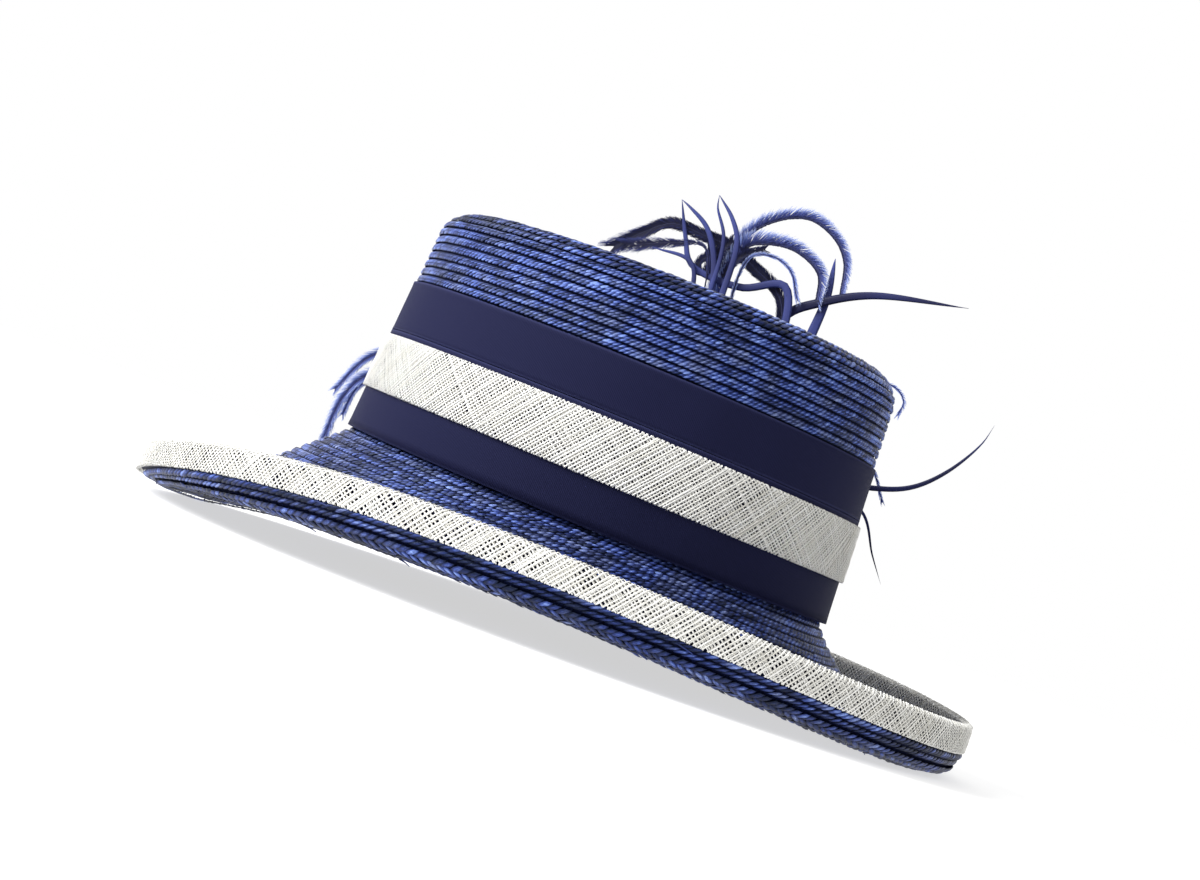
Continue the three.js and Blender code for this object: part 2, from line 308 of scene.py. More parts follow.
def ribbon_material(width):
    """Dark petersham: fine upright ribs, nearly matte, with a paler bead along each selvedge."""
    material, tree, surface = shader_material("navy_petersham", (0.012, 0.013, 0.042), 0.6)
    surface.inputs["Specular IOR Level"].default_value = 0.04
    surface.inputs["Specular Tint"].default_value = (0.6, 0.7, 1.0, 1)
    cloth = node(tree, "ShaderNodeUVMap", uv_map="cloth")
    ribs = node(tree, "ShaderNodeTexWave", bands_direction="X", Scale=0.5, Distortion=0.4, Detail=1.0)
    tree.links.new(cloth.outputs["UV"], ribs.inputs["Vector"])
    rib_colour = ramp(tree, ribs.outputs["Fac"], [
        (0.1, (0.0105, 0.0115, 0.036)),
        (0.9, (0.0145, 0.0155, 0.048)),
    ])
    up = node(tree, "ShaderNodeSeparateXYZ")
    tree.links.new(cloth.outputs["UV"], up.inputs["Vector"])
    middle = node(tree, "ShaderNodeMath", operation="SUBTRACT")
    middle.inputs[1].default_value = width / 2
    tree.links.new(up.outputs["Y"], middle.inputs[0])
    away = node(tree, "ShaderNodeMath", operation="ABSOLUTE")
    tree.links.new(middle.outputs["Value"], away.inputs[0])
    edge = map_range(tree, away.outputs["Value"], width / 2 - 0.9, width / 2 - 0.2)
    mix = node(tree, "ShaderNodeMix", data_type="RGBA")
    mix.inputs[7].default_value = (0.028, 0.031, 0.085, 1)
    tree.links.new(edge, mix.inputs["Factor"])
    tree.links.new(rib_colour, mix.inputs[6])
    tree.links.new(mix.outputs[2], surface.inputs["Base Color"])
    bump(tree, surface, ribs.outputs["Fac"], 0.4, 0.0002)
    return material


def sinamay_material():
    """Ivory banana-fibre thread, each one a little different."""
    material, tree, surface = shader_material("ivory_sinamay", (0.80, 0.77, 0.68), 0.55)
    surface.inputs["Sheen Weight"].default_value = 0.2
    tone = node(tree, "ShaderNodeAttribute", attribute_name="tone")
    colour = ramp(tree, tone.outputs["Fac"], [
        (0.0, (0.68, 0.66, 0.59)),
        (0.5, (0.90, 0.89, 0.84)),
        (1.0, (0.98, 0.98, 0.96)),
    ])
    tree.links.new(colour, surface.inputs["Base Color"])
    return material


def feather_material():
    """Dyed feather: dark at the shaft, violet-blue to pale lavender at the barb tips."""
    material, tree, surface = shader_material("dyed_feather", (0.02, 0.022, 0.09), 0.5)
    surface.inputs["Sheen Weight"].default_value = 0.06
    surface.inputs["Sheen Tint"].default_value = (0.5, 0.6, 1.0, 1)
    surface.inputs["Specular IOR Level"].default_value = 0.2
    tone = node(tree, "ShaderNodeAttribute", attribute_name="tone")
    colour = ramp(tree, tone.outputs["Fac"], [
        (0.0, (0.002, 0.002, 0.012)),
        (0.25, (0.009, 0.011, 0.060)),
        (0.6, (0.050, 0.068, 0.270)),
        (0.85, (0.20, 0.27, 0.60)),
        (1.0, (0.52, 0.58, 0.82)),
    ])
    tree.links.new(colour, surface.inputs["Base Color"])
    return material


# Mesh makers

def deselect():
    if bpy.context.object and bpy.context.object.mode != "OBJECT":
        bpy.ops.object.mode_set(mode="OBJECT")
    bpy.ops.object.select_all(action="DESELECT")


def finish_piece(piece, material, node_name=None):
    piece.data.materials.append(material)
    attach(piece, "root")
    if node_name:
        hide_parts(node_name)
    return piece


def joined_mesh(name, points, faces, tone, uv):
    """One mesh: points in millimetres, faces as rows of point numbers, and a tone and uv per point."""
    mesh = bpy.data.meshes.new(name)
    mesh.from_pydata((points * MM).tolist(), [], faces.tolist())
    mesh.attributes.new("tone", "FLOAT", "POINT").data.foreach_set("value", tone.astype(np.float32))
    layer = mesh.uv_layers.new(name="strand")
    layer.data.foreach_set("uv", uv[faces.ravel()].astype(np.float32).ravel())
    mesh.shade_smooth()
    piece = bpy.data.objects.new(name, mesh)
    bpy.context.scene.collection.objects.link(piece)
    return piece


def wrapped_grid(name, around, along, place, uv_size=None):
    """A grid wrapped round the hat and closed at its seam. place takes turn and share, both from 0 to 1."""
    deselect()
    bpy.ops.mesh.primitive_grid_add(x_subdivisions=around, y_subdivisions=along, size=2)
    piece = bpy.context.object
    piece.name = piece.data.name = name
    flat = np.empty(len(piece.data.vertices) * 3)
    piece.data.vertices.foreach_get("co", flat)
    turn, share = (flat.reshape(-1, 3)[:, 0] + 1) / 2, (flat.reshape(-1, 3)[:, 1] + 1) / 2
    piece.data.vertices.foreach_set("co", (place(turn, share) * MM).ravel())
    layer = piece.data.uv_layers[0]
    layer.name = "cloth"
    if uv_size:
        loops = np.empty(len(piece.data.loops), dtype=np.int32)
        piece.data.loops.foreach_get("vertex_index", loops)
        uv = np.stack([turn[loops] * uv_size[0], share[loops] * uv_size[1]], axis=1)
        layer.data.foreach_set("uv", uv.ravel())
    bpy.ops.object.mode_set(mode="EDIT")
    bpy.ops.mesh.select_all(action="SELECT")
    bpy.ops.mesh.remove_doubles(threshold=0.00002)
    bpy.ops.mesh.normals_make_consistent(inside=False)
    bpy.ops.object.mode_set(mode="OBJECT")
    piece.data.shade_smooth()
    return piece


def oval(half_length, half_width, z, angle):
    return np.stack(np.broadcast_arrays(half_width * np.sin(angle), -half_length * np.cos(angle), z), axis=-1)


def lean(points):
    """Tips the crown's upright frame back over the brim."""
    cos, sin = math.cos(CROWN_LEAN), math.sin(CROWN_LEAN)
    x, y, z = points[..., 0], points[..., 1], points[..., 2]
    return np.stack([x, CROWN_BACK + y * cos + z * sin, z * cos - y * sin], axis=-1)


def up_share(z):
    return (z - CROWN_FOOT) / (CROWN_TOP - CROWN_FOOT)


def drawn_in(z):
    return CROWN_TAPER * up_share(z)


def settled(points):
    """The crown's top stands forward of its foot, and the straw over the ribbons falls to the front."""
    x, y, z = points[..., 0], points[..., 1], points[..., 2]
    fall = TIP_FALL * np.clip((z - ROWS_FOOT) / (CROWN_TOP - ROWS_FOOT), 0, 1) * (0.5 - y / CROWN_LENGTH)
    ahead = np.clip(up_share(z), 0, 1) * (CROWN_FORWARD + 0.4 * y / (CROWN_LENGTH / 2))
    return np.stack([x, y - ahead, z - fall], axis=-1)


def wall(offset, z, angle):
    out = offset - drawn_in(z)
    return lean(settled(oval(CROWN_LENGTH / 2 + out, CROWN_WIDTH / 2 + out, z, angle)))


# Turns into angles with even lengths along the crown's oval
_angles = np.linspace(0, FULL_TURN, 2001)
_steps = np.hypot(CROWN_WIDTH / 2 * np.cos(_angles), CROWN_LENGTH / 2 * np.sin(_angles))
_lengths = np.concatenate([[0], np.cumsum((_steps[1:] + _steps[:-1]) / 2 * np.diff(_angles))])
CROWN_ROUND = _lengths[-1]


def even_angle(turn):
    turn = np.asarray(turn, dtype=float)
    whole = np.floor(turn)
    return np.interp((turn - whole) * CROWN_ROUND, _lengths, _angles) + whole * FULL_TURN


# Crown surface: from the tip's middle out over its rounded edge and down the wall

class CrownSkin:
    def __init__(self):
        share = np.linspace(0, 1, 60)
        edge_out = -TIP_ROUND - drawn_in(CROWN_TOP)
        rows = [
            (k * (CROWN_LENGTH / 2 + edge_out), k * (CROWN_WIDTH / 2 + edge_out), CROWN_TOP, 0, 1)
            for k in share
        ]
        for turn in np.linspace(math.pi / 2, 0, 13)[1:]:
            z = CROWN_TOP - TIP_ROUND + TIP_ROUND * math.sin(turn)
            out = TIP_ROUND * math.cos(turn) - TIP_ROUND - drawn_in(z)
            rows.append((CROWN_LENGTH / 2 + out, CROWN_WIDTH / 2 + out, z, math.cos(turn), math.sin(turn)))
        for z in np.linspace(CROWN_TOP - TIP_ROUND, CROWN_FOOT + 0.6, 60)[1:]:
            out = -drawn_in(z)
            rows.append((CROWN_LENGTH / 2 + out, CROWN_WIDTH / 2 + out, z, 1, 0))
        self.rows = np.array(rows)
        steps = np.hypot(np.diff(self.rows[:, 0]), np.diff(self.rows[:, 2]))
        self.down = np.concatenate([[0], np.cumsum(steps)])
        self.total = self.down[-1]
        self.tip_edge = CROWN_LENGTH / 2 + edge_out
        self.round_end = self.tip_edge + TIP_ROUND * math.pi / 2

    def at(self, turn, down, lift):
        """turn round the crown, down in millimetres from the tip's middle, lift out from the straw's face."""
        down = np.asarray(down, dtype=float)
        a, b, z, out, up = (np.interp(down, self.down, self.rows[:, i]) for i in range(5))
        size = np.hypot(out, up)
        out, up = out / size, up / size
        away = np.minimum(1.0, np.abs(down) / 3)
        angle = even_angle(turn)
        return lean(settled(oval(a + lift * out * away, b + lift * out * away, z + lift * up, angle)))

    def girth(self, down):
        a, b = (np.interp(down, self.down, self.rows[:, i]) for i in range(2))
        return FULL_TURN * math.sqrt((a * a + b * b) / 2)


# Brim surface: from the collar's foot down the flare, round the gutter and up the wall

class BrimSkin:
    STATIONS = 161

    def __init__(self):
        self.turns = np.linspace(0, 1, 721)
        self.lines = np.array([self.line(angle) for angle in even_angle(self.turns)])
        self.lengths = np.array([np.hypot(*np.diff(line, axis=0).T).sum() for line in self.lines[:, :, :2]])

    def line(self, angle):
        """The sheet's middle line at an angle: out, up, and the way up through the sheet, at even shares."""
        foot = wall(COLLAR_MIDDLE, CROWN_FOOT, np.array(angle))
        rim = oval(BRIM_LENGTH / 2 - WALL_INSET, BRIM_WIDTH / 2 - WALL_INSET, 0.0, np.array(angle))
        reach = float(np.hypot(*(rim - foot)[:2]))
        low = self.floor_lift(angle) + STRAW / 2
        tall = self.rim_top(angle) - CLEARANCE - SINAMAY - low
        rise = tall / WALL_TALL
        slope = FRONT_SLOPE + (BACK_SLOPE - FRONT_SLOPE) * max(0.0, -math.cos(angle)) ** 2
        start, end = np.array([0, foot[2]]), np.array([reach - GUTTER, low])
        one = start + UPPER_BEND * reach * np.array([math.cos(slope), -math.sin(slope)])
        two = end + LOWER_BEND * reach * np.array([-math.cos(GUTTER_SLOPE), math.sin(GUTTER_SLOPE)])
        t = np.linspace(0, 1, 80)[:, None]
        flare = (1 - t) ** 3 * start + 3 * t * (1 - t) ** 2 * one + 3 * t * t * (1 - t) * two + t ** 3 * end
        bend = np.linspace(0, math.pi / 2, 25)[1:]
        curl = end + np.stack([GUTTER * np.sin(bend), rise ** 2 * CURL * (1 - np.cos(bend))], axis=1)
        upright = np.stack([np.full(12, reach), np.linspace(curl[-1, 1], low + tall, 13)[1:]], axis=1)
        points = np.concatenate([flare, curl, upright])
        along = np.concatenate([[0], np.cumsum(np.hypot(*np.diff(points, axis=0).T))])
        even = np.linspace(0, along[-1], self.STATIONS)
        line = np.stack([np.interp(even, along, points[:, 0]), np.interp(even, along, points[:, 1])], axis=1)
        way = np.gradient(line, axis=0)
        way /= np.linalg.norm(way, axis=1)[:, None]
        return np.concatenate([line, np.stack([-way[:, 1], way[:, 0]], axis=1)], axis=1)

    @staticmethod
    def floor_lift(angle):
        power = FRONT_RISE if math.cos(angle) > 0 else 2
        return SIDE_LIFT * abs(math.sin(angle)) ** power + LEFT_LIFT * math.sin(angle) ** 3

    @staticmethod
    def rim_top(angle):
        end = FRONT_RIM if math.cos(angle) > 0 else RIM_HEIGHT
        side = math.sin(angle) ** 2
        return end * (1 - side) + (RIM_HEIGHT + SIDE_LIFT) * side + LEFT_LIFT * math.sin(angle) ** 3

    def at(self, turn, share, above):
        """turn round the brim, share from the collar's foot to the wall's top, above the sheet's middle."""
        turn, share = np.broadcast_arrays(np.asarray(turn, dtype=float), np.clip(share, 0, 1))
        part = (turn % 1.0) * (len(self.turns) - 1)
        i = np.minimum(part.astype(int), len(self.turns) - 2)
        u = (part - i)[..., None]
        place = share * (self.STATIONS - 1)
        j = np.minimum(place.astype(int), self.STATIONS - 2)
        v = (place - j)[..., None]
        low = self.lines[i, j] * (1 - u) + self.lines[i + 1, j] * u
        high = self.lines[i, j + 1] * (1 - u) + self.lines[i + 1, j + 1] * u
        station = low * (1 - v) + high * v
        angle = even_angle(turn)
        foot = wall(COLLAR_MIDDLE, CROWN_FOOT, angle)
        rim = oval(BRIM_LENGTH / 2 - WALL_INSET, BRIM_WIDTH / 2 - WALL_INSET, 0.0, angle)
        outwards = (rim - foot)[..., :2]
        outwards = outwards / np.linalg.norm(outwards, axis=-1)[..., None]
        out = station[..., 0] + above * station[..., 2]
        x, y = foot[..., 0] + outwards[..., 0] * out, foot[..., 1] + outwards[..., 1] * out
        return np.stack([x, y, station[..., 1] + above * station[..., 3]], axis=-1)

    def length(self, turn=0.25):
        return float(np.interp(turn, self.turns, self.lengths))

    def girth(self, share):
        ring = self.at(np.linspace(0, 1, 181), share, 0.0)
        return float(np.linalg.norm(np.diff(ring, axis=0), axis=1).sum())


# Braid

def strand_row(
    place, girth, middle, tall, slant, spacing, lift, steps, tone_shift=0.0, round_off=0.75, painted_glint=0.32,
):
    """One row of slanted strands, domed across and rounded along, with a painted highlight near their lower
    end and painted shade along their sides.
    """
    count = max(6, int(round(girth / spacing)))
    spacing = girth / count
    lengthwise, across = steps
    a = np.linspace(-1, 1, lengthwise)[None, :, None]
    b = np.linspace(-1, 1, across)[None, None, :]
    start = (np.arange(count) + chance.random())[:, None, None] + chance.normal(0, 0.06, (count, 1, 1))
    half_tall = tall / 2 * (1 + chance.normal(0, 0.04, (count, 1, 1)))
    sideways = tall / 2 / math.tan(abs(slant)) * math.copysign(1, slant)
    body = 0.58 * spacing * (1 - 0.34 * a ** 4) * (1 + chance.normal(0, 0.06, (count, 1, 1)))
    along = middle + half_tall * a + 0 * b
    round_it = start * spacing + sideways * a + body * b
    dome = 0.34 * (1 - b ** 2) - 0.16 * b * math.copysign(1, slant)
    height = lift + dome + round_off * (np.sqrt(1 - (0.95 * a) ** 2) - 1)
    height = height + chance.normal(0, 0.08, (count, 1, 1)) + 0 * along
    points = place(round_it / girth, along, height)
    base = smooth_tones(count)[:, None, None]
    # Painted highlight: the tone is raised near each strand's lower end, where a glint would fall.
    bead = painted_glint * (0.4 + 1.2 * base) * np.exp(-((a - 0.45) / 0.45) ** 2) * (1 - 0.8 * b ** 2)
    # Painted shade: the tone is lowered along each strand's sides and ends, and a little towards its upper
    # end.
    painted_edge_shade = 0.40 * np.abs(b) ** 3 + 0.16 * np.abs(a) ** 5 + 0.06 * np.clip(-a, 0, 1)
    tone = np.clip(base + bead - painted_edge_shade + 0.12 + tone_shift + 0 * along, 0, 1).ravel()
    uv = np.stack([(a + 0 * along).ravel(), (b + 3 * start + 0 * along).ravel()], axis=1)
    grid = np.arange(lengthwise * across).reshape(lengthwise, across)
    cell = np.stack([grid[:-1, :-1], grid[:-1, 1:], grid[1:, 1:], grid[1:, :-1]], axis=-1).reshape(-1, 4)
    faces = (cell[None] + (np.arange(count) * lengthwise * across)[:, None, None]).reshape(-1, 4)
    return points.reshape(-1, 3), faces, tone, uv


def smooth_tones(count):
    """Tones that drift along a row, with a few bright or dull straws standing out."""
    drift = chance.normal(0, 1, count + 16)
    drift = np.convolve(drift, np.ones(7) / 2.6, "same")[8:8 + count]
    single = chance.normal(0, 1, count)
    tone = 0.43 + 0.13 * drift + 0.11 * single
    tone[chance.random(count) < 0.07] += 0.25
    return np.clip(tone, 0.12, 1)


def join_rows(name, rows, material, node_name=None):
    points, faces, tones, uvs, at = [], [], [], [], 0
    for row_points, row_faces, tone, uv in rows:
        points.append(row_points)
        faces.append(row_faces + at)
        tones.append(tone)
        uvs.append(uv)
        at += len(row_points)
    joined = [np.concatenate(part) for part in (points, faces, tones, uvs)]
    return finish_piece(joined_mesh(name, *joined), material, node_name)


def flip(row):
    points, faces, tone, uv = row
    return points, faces[:, ::-1], tone, uv


def make_crown(straw, shadow):
    skin = CrownSkin()

    def shell(turn, share):
        """Up the inside to the tip's middle, then down the outside, and closed at the foot."""
        down = np.interp(share, [0, 0.49, 0.98, 1], [skin.total, 0, skin.total, skin.total])
        depth = [-STRAW, -STRAW, -SHELL_DEPTH, -SHELL_DEPTH, -STRAW]
        return skin.at(turn, down, np.interp(share, [0, 0.4899, 0.4901, 0.98, 1], depth))

    # The crown's shell under the strands gets the near-black straw: painted shade between the rows.
    body = wrapped_grid("crown_shell", 120, 101, shell)
    finish_piece(body, shadow, "crown")

    def side_place(middle):
        def place(turn, along, lift):
            off = along - middle
            return skin.at(turn, along, lift + 0.16 * off - 0.55 * (off / 1.6) ** 4)
        return place

    rows = []
    middle = skin.total - (ROWS_FOOT - CROWN_FOOT - 0.6) + 0.35 * ROW
    while middle > skin.round_end - 1.5 * ROW:
        for up, lift in ((0.70, 0.14), (-0.62, 0.06)):
            line = middle - up
            girth = skin.girth(line)
            rows.append(strand_row(
                side_place(middle), girth, line, 1.66, -FINE_SLANT, FINE_STRAND, lift, (4, 3),
                tone_shift=0.17, round_off=0.22, painted_glint=0.52,
            ))
        middle -= ROW
    join_rows("crown_side_braid", [flip(row) for row in rows], straw)

    rows = []
    count = int(round((middle + ROW / 2) / ROW))
    pitch = (middle + ROW / 2) / count
    for index in range(count):
        middle = (index + 0.5) * pitch
        girth = max(skin.girth(middle), 8)
        rows.append(strand_row(skin.at, girth, middle, 3.0, -SLANT, STRAND, 0.05, (4, 4)))
    join_rows("crown_tip_braid", [flip(row) for row in rows], straw)

    def inner_place(turn, along, lift):
        return skin.at(turn, along, -STRAW - lift)

    rows = []
    count = int(skin.total / ROW)
    for index in range(count):
        middle = (index + 0.5) * skin.total / count
        girth = max(skin.girth(middle) - 10, 8)
        rows.append(strand_row(inner_place, girth, middle, 3.1, SLANT, 4.4, -0.2, (4, 3), tone_shift=-0.05))
    join_rows("crown_inner_braid", rows, straw)


def make_brim(straw, shadow):
    skin = BrimSkin()
    half = STRAW / 2
    depth = half - SHELL_DEPTH / 2
    total = skin.length()

    def shell(turn, share):
        out = np.interp(share, [0, 0.48, 0.51, 0.985, 1], [0, 1, 1, 0, 0])
        above = np.interp(share, [0, 0.48, 0.51, 0.985, 1], [depth, depth, -depth, -depth, depth])
        return skin.at(turn, out, above)

    def collar(turn, share):
        return wall(COLLAR_MIDDLE, CROWN_FOOT + share * COLLAR_LAP, even_angle(turn))

    # The brim's shell and collar get the near-black straw: painted shade between the rows.
    body = wrapped_grid("brim_shell", 160, 71, shell)
    finish_piece(body, shadow, "brim")
    ring = wrapped_grid("brim_collar", 240, 5, collar)
    solid = ring.modifiers.new("thickness", "SOLIDIFY")
    solid.thickness = STRAW * MM
    solid.offset = 0
    bpy.ops.object.modifier_apply(modifier="thickness")
    finish_piece(ring, shadow)

    def upper(middle):
        def place(turn, along, lift):
            off = along - middle
            return skin.at(turn, along / total, half + lift - 0.15 * off - 0.6 * (off / 1.6) ** 4)
        return place

    def under(more=0.0):
        return lambda turn, along, lift: skin.at(turn, along / total, -half - lift - more)

    rows = []
    for index in range(int(total * 0.95 / ROW)):
        middle = (index + 0.45) * ROW
        for up, lift in ((0.64, -0.06), (-0.60, -0.10)):
            line = middle - up
            girth = skin.girth(line / total)
            rows.append(strand_row(
                upper(middle), girth, line, 1.62, -FINE_SLANT, 2.6, lift, (4, 3),
                tone_shift=0.09, round_off=0.2,
            ))
    join_rows("brim_top_braid", [flip(row) for row in rows], straw)

    rows = []
    foot = total - (BINDING_WIDTH - SINAMAY - CLEARANCE)
    lowest = foot - PLAITED_EDGE
    count = int(lowest / ROW)
    for index in range(count):
        middle = (index + 0.5) * lowest / count
        girth = skin.girth(middle / total)
        rows.append(strand_row(under(), girth, middle, 3.0, BRIM_SLANT, 3.4, -0.1, (4, 3), tone_shift=-0.1))
    join_rows("brim_under_braid", rows, straw)

    rows = []
    for down, tall, more in ((0.7, 1.9, 0.25), (3.1, 1.8, -0.1)):
        middle = foot - down
        girth = skin.girth(middle / total)
        rows.append(strand_row(
            under(more), girth, middle, tall, EDGE_SLANT, 2.9, 0.0, (4, 4), tone_shift=-0.04, round_off=0.6,
        ))
    # Painted shade: both plaits are darkened, the lowest one most, where the edge turns under.
    for down, more, shade in ((6.7, 0.8, -0.06), (11.3, 0.3, -0.22)):
        for side, slant in ((PLAIT_HALF, PLAIT_SLANT), (-PLAIT_HALF, -PLAIT_SLANT)):
            middle = foot - down + side
            girth = skin.girth(middle / total)
            rows.append(strand_row(
                under(more), girth, middle, 2.4, slant, 3.1, 0.0, (4, 4),
                tone_shift=shade, round_off=0.45, painted_glint=0.2,
            ))
    join_rows("brim_edge_plaits", rows, straw)

    ends = []
    for _ in range(FRAYED_ENDS):
        turn = chance.random()
        along = foot - chance.choice([0.4, 4.6, 8.7, 12.6]) + chance.normal(0, 0.4)
        length = chance.uniform(2.5, 6.5)
        t = np.linspace(0, 1, 7)
        lift = 0.5 + 1.5 * t ** 2 * chance.uniform(0.2, 1.0)
        down = along - t * chance.normal(0.6, 0.9)
        line = skin.at(turn + t * length / skin.girth(1.0), down / total, -half - lift)
        ends.append(tube(line, 0.34 * (1 - 0.6 * t), 0.16 + 0 * t, 0.35 + 0.3 * t))
    join_rows("brim_frayed_ends", ends, straw)
    return skin


# Ribbons

def make_ribbon(name, foot, width, phase):
    """A petersham band round the crown, with a bead at each selvedge and a few soft waves."""

    def place(turn, share):
        angle = even_angle(turn)
        z = foot + share * width
        beat = np.sin(9 * angle + phase) * np.sin(4 * angle + 2 * phase)
        slack = np.exp(-((angle - math.radians(128)) / 0.30) ** 2)
        wave = 0.10 * beat + 0.40 * slack * np.sin(17 * angle + 1.3 * share + phase)
        edge = np.minimum(share, 1 - share) * width
        bead = 0.12 * np.exp(-(edge / 0.7) ** 2)
        ribs = 0.12 * np.sin(turn * CROWN_ROUND * FULL_TURN / 1.2) * (edge < 0.05)
        ripple = wave * np.sin(math.pi * np.clip(share, 0.02, 0.98))
        return wall(CLEARANCE + RIBBON - 0.1 + bead + ripple, z + ribs, angle)

    piece = wrapped_grid(name + "_cloth", 480, 11, place, (CROWN_ROUND, width))
    solid = piece.modifiers.new("thickness", "SOLIDIFY")
    solid.thickness = 0.6 * MM
    solid.offset = -1
    bpy.ops.object.modifier_apply(modifier="thickness")
    finish_piece(piece, ribbon_material(width), name)


# Sinamay

def thread_family(place, length, width, angle, pitch, steps, lift, fold):
    """Threads laid across a strip at one bias angle. place(run, up, lift) gives points on the strip."""
    count = int(length * math.sin(abs(angle)) / pitch)
    up = np.concatenate([[-fold], np.linspace(0, width, steps), [width + fold]])[None, :]
    dip = np.concatenate([[-0.45], np.zeros(steps), [-0.45]])[None, :]
    dip[0, 1] = dip[0, -2] = -0.08
    start = (np.arange(count)[:, None] + chance.normal(0, 0.10, (count, 1))) * length / count
    wander = np.cumsum(chance.normal(0, 0.05, (count, up.shape[1])), axis=1)
    run = start + up / math.tan(angle) + wander
    weave = 0.07 * np.sin(np.arange(up.shape[1])[None, :] * 1.7 + np.arange(count)[:, None] * math.pi)
    centre = place(run, up, lift + dip + weave)
    outer = place(run, up, lift + dip + weave + 0.2) - centre
    outer /= np.linalg.norm(outer, axis=-1)[..., None]
    way = np.gradient(centre, axis=1)
    way /= np.linalg.norm(way, axis=-1)[..., None]
    side = np.cross(way, outer)
    half_wide = THREAD_HALF_WIDE * (1 + chance.normal(0, 0.16, (count, 1, 1))) * np.ones((1, up.shape[1], 1))
    half_wide = half_wide * (1 + chance.normal(0, 0.07, (count, up.shape[1], 1)))
    corners = np.stack([
        centre + side * half_wide,
        centre + outer * THREAD_HALF_THICK,
        centre - side * half_wide,
        centre - outer * THREAD_HALF_THICK,
    ], axis=2)
    n = up.shape[1]
    ring = np.arange(n * 4).reshape(n, 4)
    turned = np.roll(ring, -1, axis=1)
    sides = np.stack([ring[:-1], turned[:-1], turned[1:], ring[1:]], axis=-1).reshape(-1, 4)
    caps = np.array([ring[0][::-1], ring[-1]])
    cell = np.concatenate([sides, caps])[:, ::-1]
    faces = (cell[None] + (np.arange(count) * n * 4)[:, None, None]).reshape(-1, 4)
    tone = np.repeat(np.clip(0.55 + chance.normal(0, 0.16, count), 0, 1), n * 4)
    return corners.reshape(-1, 3), faces, tone, np.zeros((count * n * 4, 2))


def woven_layers(place, length, width, steps, layers, fold, pitch=THREAD_PITCH):
    rows = []
    for layer in range(layers):
        lift = 0.30 - LAYER_STEP * layer
        rows.append(thread_family(place, length, width, RISING, pitch, steps, lift + 0.1, fold))
        rows.append(thread_family(place, length, width, FALLING, pitch, steps + 2, lift - 0.1, fold))
    return rows


def make_band(material):
    foot = CROWN_FOOT + BAND_UP
    offset = CLEARANCE + RIBBON + CLEARANCE + SINAMAY - 0.42

    def place(run, up, lift):
        return wall(offset + lift, foot + up, even_angle(run / CROWN_ROUND))

    rows = woven_layers(place, CROWN_ROUND, BAND_WIDTH, steps=7, layers=2, fold=0.25)
    piece = join_rows("sinamay_band_weave", rows, material, "sinamay_band")


def make_binding(skin, material):
    turns = np.linspace(0, 1, 721)
    rim = skin.at(turns, 1.0, 0.0)
    lengths = np.concatenate([[0], np.cumsum(np.linalg.norm(np.diff(rim, axis=0), axis=1))])
    girth = lengths[-1]
    radius = STRAW / 2 + CLEARANCE + SINAMAY / 2
    leg = BINDING_WIDTH - radius
    over = math.pi * radius
    total = 2 * leg + over

    def place(run, up, lift):
        turn = np.interp(run % girth, lengths, turns)
        top = skin.at(turn, 1.0, 0.0)
        outer = skin.at(turn, 1.0, -1.0) - top
        bend = np.clip((up - leg) / over, 0, 1) * math.pi
        out = (radius + lift) * np.cos(bend)
        rise = (radius + lift) * np.sin(bend) - np.clip(leg - up, 0, None) - np.clip(up - leg - over, 0, None)
        points = top + outer * out[..., None]
        points[..., 2] += rise - 0.2
        return points

    outside = woven_layers(place, girth, total, steps=13, layers=1, fold=0.2, pitch=1.42)
    piece = join_rows("brim_binding_weave", outside, material, "brim_binding")

    def under(run, up, lift):
        return place(run + 3.1, up, lift - LAYER_STEP)

    inside = woven_layers(under, girth, total, steps=11, layers=1, fold=0.2, pitch=1.65)
    lower = join_rows("brim_binding_turning", inside, material)


# Feathers

SHAFT_STEPS = 60
KNOT_TUFTS = 7

